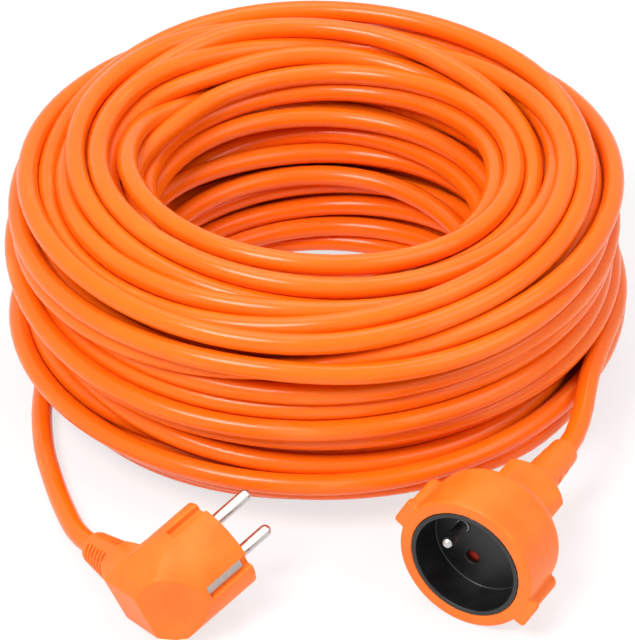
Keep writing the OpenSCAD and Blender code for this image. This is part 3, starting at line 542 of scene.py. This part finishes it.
def cable_path():
    """The cable's whole line: from the socket's strain relief over its lead's points, round all the
    turns and along the plug's lead, then drawn even every 2 mm, smoothed over 6 mm and drawn even again
    every 7.8 mm."""
    at = laid_turns()
    angle = np.pi - np.arange(len(at)) * 2 * np.pi / steps
    coil = np.stack([at[:, 0] * np.cos(angle), at[:, 0] * np.sin(angle) + coil_back, at[:, 1]], -1)[::-1]
    back = np.array([0, coil_back, 0])
    socket_end = on_socket(np.zeros(3), np.zeros(3), socket_exit)
    plug_end = on_plug(plug_exit, np.zeros(3), np.full(3, -exit_depth))
    line = np.vstack([socket_end, back + socket_route, coil[2:-2], back + plug_route, plug_end])
    reach = 12
    for spacing, width in ((0.002, 3), (0.0078, 0)):
        far = np.concatenate([[0], np.cumsum(np.linalg.norm(np.diff(line, axis=0), axis=1))])
        even = np.linspace(0, far[-1], int(round(far[-1] / spacing)) + 1)
        line = np.stack([np.interp(even, far, line[:, c]) for c in range(3)], -1)
        if width:
            weight = np.exp(-0.5 * (np.arange(-reach, reach + 1) / width) ** 2)
            weight /= weight.sum()
            padded = np.vstack([2 * line[0] - line[reach:0:-1], line,
                                2 * line[-1] - line[-2:-reach - 2:-1]])
            line = np.stack([np.convolve(padded[:, c], weight, mode="valid") for c in range(3)], -1)
    line[:, 2] = np.maximum(line[:, 2], cable_d / 2)
    return line


def tube(name, line, radius, sides):
    """A round tube along a line: each ring is radius * (cos a * side + sin a * over), where side lies
    level across the line and over is square to both. Its UV map holds metres along and round it."""
    ahead = np.gradient(line, axis=0)
    ahead /= np.linalg.norm(ahead, axis=1, keepdims=True)
    side = np.cross(ahead, [0, 0, 1])
    side /= np.linalg.norm(side, axis=1, keepdims=True)
    over = np.cross(side, ahead)
    a = 2 * np.pi * np.arange(sides) / sides
    ring = np.cos(a)[:, None] * side[:, None] + np.sin(a)[:, None] * over[:, None]
    points = line[:, None] + radius * ring
    n = len(line)
    i, k = np.meshgrid(np.arange(n - 1), np.arange(sides), indexing="ij")
    quads = np.stack([i * sides + k, i * sides + (k + 1) % sides,
                      (i + 1) * sides + (k + 1) % sides, (i + 1) * sides + k], -1).reshape(-1, 4)
    rim, last_rim, centre = np.arange(sides), (n - 1) * sides, n * sides
    first = np.stack([np.full(sides, centre), (rim + 1) % sides, rim], -1)
    last = np.stack([np.full(sides, centre + 1), last_rim + rim, last_rim + (rim + 1) % sides], -1)
    mesh = bpy.data.meshes.new(name)
    mesh.from_pydata(np.vstack([points.reshape(-1, 3), line[[0, -1]]]).tolist(), [],
                     quads.tolist() + first.tolist() + last.tolist())
    mesh.polygons.foreach_set("use_smooth", np.ones(len(mesh.polygons), bool))
    far = np.concatenate([[0], np.cumsum(np.linalg.norm(np.diff(line, axis=0), axis=1))])
    along = far[np.stack([i, i, i + 1, i + 1], -1)]
    around = np.stack([k, k + 1, k + 1, k], -1) * (2 * np.pi * radius / sides)
    caps = np.zeros((6 * sides, 2))
    uv = np.vstack([np.stack([along, around], -1).reshape(-1, 2), caps])
    mesh.uv_layers.new(name="along").data.foreach_set("uv", uv.ravel())
    piece = bpy.data.objects.new(name, mesh)
    scene.collection.objects.link(piece)
    return piece


# Extruded PVC: glossy and even in colour, with faint flow lines along the sheath and paler, duller
# streaks where turn has rubbed on turn. Lines and streaks have these numbers of cells to the metre along
# the cable and round it, and the patches in which the colour drifts patch_cells.
flow_cells, streak_cells, patch_cells = (12, 260, 1), (26, 190, 1), 24.0
most_worn = 0.35
cable_pvc = blank("extruded_pvc_orange")
where = add(cable_pvc, "ShaderNodeTexCoord")
stretched = add(cable_pvc, "ShaderNodeMapping", {"Vector": where.outputs["UV"]}, {"Scale": flow_cells})
lines = add(cable_pvc, "ShaderNodeTexNoise", {"Vector": stretched.outputs[0]},
            {"Scale": 1.0, "Detail": 2.0})
patches = add(cable_pvc, "ShaderNodeTexNoise", {"Vector": where.outputs["Object"]},
              {"Scale": patch_cells, "Detail": 3.0})
tint = add(cable_pvc, "ShaderNodeMix", {0: patches.outputs[0]},
           {6: linear("#F46408"), 7: linear("#FC7614")}, data_type="RGBA")
drawn_out = add(cable_pvc, "ShaderNodeMapping", {"Vector": where.outputs["UV"]}, {"Scale": streak_cells})
streaks = add(cable_pvc, "ShaderNodeTexNoise", {"Vector": drawn_out.outputs[0]},
              {"Scale": 1.0, "Detail": 4.0})
rubbed = add(cable_pvc, "ShaderNodeMapRange", {0: streaks.outputs[0]},
             {"From Min": 0.58, "From Max": 0.78, "To Min": 0.0, "To Max": most_worn})
worn = add(cable_pvc, "ShaderNodeMix", {0: rubbed.outputs[0], 6: tint.outputs[2]},
           {7: linear("#FF9A58")}, data_type="RGBA")
gloss = add(cable_pvc, "ShaderNodeMapRange", {0: rubbed.outputs[0]},
            {"From Min": 0.0, "From Max": most_worn, "To Min": 0.21, "To Max": 0.36})
relief = add(cable_pvc, "ShaderNodeBump", {"Height": lines.outputs[0]},
             {"Strength": 0.06, "Distance": 0.0003})
sheath = add(cable_pvc, "ShaderNodeBsdfPrincipled",
             {"Base Color": worn.outputs[2], "Roughness": gloss.outputs[0], "Normal": relief.outputs[0]},
             {"IOR": 1.53, "Specular IOR Level": 0.24, "Subsurface Weight": 0.12,
              "Subsurface Radius": (1.0, 0.25, 0.05), "Subsurface Scale": 0.0015})
add(cable_pvc, "ShaderNodeOutputMaterial", {"Surface": sheath.outputs[0]})

cable_line = cable_path()
cable = tube("cable", cable_line, cable_d / 2, sides=16)
cable.data.materials.append(cable_pvc)
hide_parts("coil_core", "coil_upper_turns", "coil_lower_turns", "plug_lead", "socket_lead")
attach(cable, "cord")
